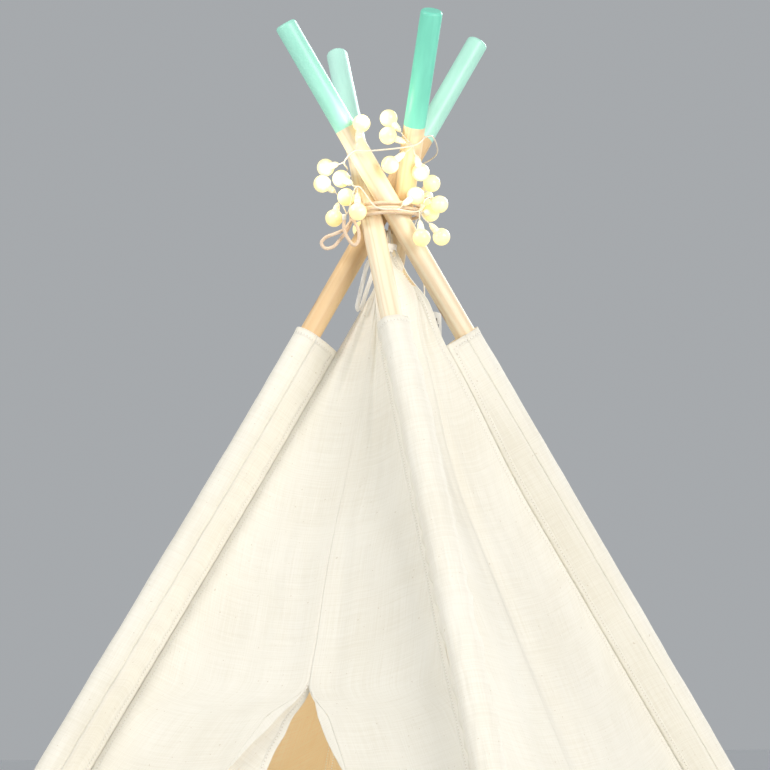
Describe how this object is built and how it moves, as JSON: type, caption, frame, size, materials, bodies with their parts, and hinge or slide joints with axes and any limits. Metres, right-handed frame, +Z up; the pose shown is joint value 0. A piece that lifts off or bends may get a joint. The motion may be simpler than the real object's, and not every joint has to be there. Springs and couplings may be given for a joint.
{
  "type": "children's play tent",
  "caption": "Four crossed wooden poles with painted tips carry a four-sided canvas cover with a parted door; a cord and globe lights wrap the crossing.",
  "frame": {"origin": "on the floor, midway between the four feet", "axes": "+Z up; the door is in the panel facing -Y; +X is to the right when facing the door from outside"},
  "size_m": [1.2356, 1.2356, 1.6537],
  "materials": {
    "pine": "smooth sanded pine, mint painted tips",
    "canvas": "heavy cream cotton canvas, plain weave",
    "steel": "plain steel tube",
    "cap": "off-white moulded plastic",
    "ribbon": "white cotton tape",
    "cotton_cord": "beige twisted cotton cord",
    "wire": "clear and white flexible wire",
    "socket": "translucent white plastic",
    "bulb": "frosted globe, lit warm white",
    "case": "off-white moulded plastic",
    "switch": "dark grey plastic",
    "cell": "plain metal cell"
  },
  "bodies": {
    "canopy": {"apex_ties": "ribbon", "lashing_cord": "cotton_cord", "lashing_bow": "cotton_cord", "light_wire": "wire", "bulb_leads": "wire", "bulb_sockets": "socket", "bulbs": "bulb", "battery_case": "case", "battery_lid": "case", "battery_cells": "cell"},
    "pole_back_right": {"pole_upper_back_right": "pine", "pole_lower_back_right": "pine", "ferrule_back_right": "steel", "foot_cap_back_right": "cap", "sleeve_back_right": "canvas"},
    "pole_back_left": {"pole_upper_back_left": "pine", "pole_lower_back_left": "pine", "ferrule_back_left": "steel", "foot_cap_back_left": "cap", "sleeve_back_left": "canvas"},
    "pole_front_left": {"pole_upper_front_left": "pine", "pole_lower_front_left": "pine", "ferrule_front_left": "steel", "foot_cap_front_left": "cap", "sleeve_front_left": "canvas"},
    "pole_front_right": {"pole_upper_front_right": "pine", "pole_lower_front_right": "pine", "ferrule_front_right": "steel", "foot_cap_front_right": "cap", "sleeve_front_right": "canvas"},
    "half_front_left": {"panel_front_left_half": "canvas", "tie_back_left": "ribbon"},
    "half_front_right": {"panel_front_right_half": "canvas", "tie_back_right": "ribbon"},
    "half_right_front": {"panel_right_front_half": "canvas"},
    "half_right_back": {"panel_right_back_half": "canvas"},
    "half_back_right": {"panel_back_right_half": "canvas"},
    "half_back_left": {"panel_back_left_half": "canvas"},
    "half_left_back": {"panel_left_back_half": "canvas"},
    "half_left_front": {"panel_left_front_half": "canvas"},
    "flap_left": {"door_flap_left": "canvas"},
    "flap_right": {"door_flap_right": "canvas"},
    "switch": {"battery_switch": "switch"}
  },
  "joints": [
    {"name": "fold", "type": "hinge", "parent": "canopy", "child": "pole_back_right", "pos_m": [0.0161, -0.01528, 1.418], "axis": [-0.7254, 0.6884, 0], "range_deg": [0, 28], "deforming": ["sleeve_back_right"]},
    {"name": "fold_back_left", "type": "hinge", "parent": "canopy", "child": "pole_back_left", "pos_m": [0.01528, 0.0161, 1.418], "axis": [-0.6884, -0.7254, 0], "range_deg": [-0.5, 28.5], "deforming": ["sleeve_back_left"]},
    {"name": "fold_front_left", "type": "hinge", "parent": "canopy", "child": "pole_front_left", "pos_m": [-0.0161, 0.01528, 1.418], "axis": [0.7254, -0.6884, 0], "range_deg": [-0.5, 28.5], "deforming": ["sleeve_front_left"]},
    {"name": "fold_front_right", "type": "hinge", "parent": "canopy", "child": "pole_front_right", "pos_m": [-0.01528, -0.0161, 1.418], "axis": [0.6884, 0.7254, 0], "range_deg": [-0.5, 28.5], "deforming": ["sleeve_front_right"]},
    {"name": "fold_panel_front_left", "type": "hinge", "parent": "canopy", "child": "half_front_left", "pos_m": [0, 0, 1.33424], "axis": [0, -0.3897, -0.9209], "range_deg": [-1, 85], "deforming": ["panel_front_left_half", "tie_back_left"]},
    {"name": "fold_panel_front_right", "type": "hinge", "parent": "canopy", "child": "half_front_right", "pos_m": [0, 0, 1.33424], "axis": [0, 0.3897, 0.9209], "range_deg": [-1, 85], "deforming": ["panel_front_right_half", "tie_back_right"]},
    {"name": "fold_panel_right_front", "type": "hinge", "parent": "canopy", "child": "half_right_front", "pos_m": [0, 0, 1.33424], "axis": [0.3897, 0, -0.9209], "range_deg": [-1, 85], "deforming": ["panel_right_front_half"]},
    {"name": "fold_panel_right_back", "type": "hinge", "parent": "canopy", "child": "half_right_back", "pos_m": [0, 0, 1.33424], "axis": [-0.3897, 0, 0.9209], "range_deg": [-1, 85], "deforming": ["panel_right_back_half"]},
    {"name": "fold_panel_back_right", "type": "hinge", "parent": "canopy", "child": "half_back_right", "pos_m": [0, 0, 1.33424], "axis": [0, 0.3897, -0.9209], "range_deg": [-1, 85], "deforming": ["panel_back_right_half"]},
    {"name": "fold_panel_back_left", "type": "hinge", "parent": "canopy", "child": "half_back_left", "pos_m": [0, 0, 1.33424], "axis": [0, -0.3897, 0.9209], "range_deg": [-1, 85], "deforming": ["panel_back_left_half"]},
    {"name": "fold_panel_left_back", "type": "hinge", "parent": "canopy", "child": "half_left_back", "pos_m": [0, 0, 1.33424], "axis": [-0.3897, 0, -0.9209], "range_deg": [-1, 85], "deforming": ["panel_left_back_half"]},
    {"name": "fold_panel_left_front", "type": "hinge", "parent": "canopy", "child": "half_left_front", "pos_m": [0, 0, 1.33424], "axis": [0.3897, 0, 0.9209], "range_deg": [-1, 85], "deforming": ["panel_left_front_half"]},
    {"name": "door_left", "type": "hinge", "parent": "half_front_left", "child": "flap_left", "pos_m": [0, -0.21929, 0.816], "axis": [0, 0.9209, -0.3897], "range_deg": [-30, 0], "deforming": ["door_flap_left"]},
    {"name": "door_right", "type": "hinge", "parent": "half_front_right", "child": "flap_right", "pos_m": [0, -0.21929, 0.816], "axis": [0, -0.9209, 0.3897], "range_deg": [-30, 0], "deforming": ["door_flap_right"]},
    {"name": "switch_slide", "type": "slide", "parent": "canopy", "child": "switch", "axis": [0, 0, 1], "range_m": [0, 0.007]}
  ],
  "couplings": [
    {"joint": "fold_back_left", "follows": "fold", "ratio": 1},
    {"joint": "fold_front_left", "follows": "fold", "ratio": 1},
    {"joint": "fold_front_right", "follows": "fold", "ratio": 1},
    {"joint": "fold_panel_front_left", "follows": "fold", "ratio": 3},
    {"joint": "fold_panel_front_right", "follows": "fold", "ratio": 3},
    {"joint": "fold_panel_right_front", "follows": "fold", "ratio": 3},
    {"joint": "fold_panel_right_back", "follows": "fold", "ratio": 3},
    {"joint": "fold_panel_back_right", "follows": "fold", "ratio": 3},
    {"joint": "fold_panel_back_left", "follows": "fold", "ratio": 3},
    {"joint": "fold_panel_left_back", "follows": "fold", "ratio": 3},
    {"joint": "fold_panel_left_front", "follows": "fold", "ratio": 3}
  ]
}
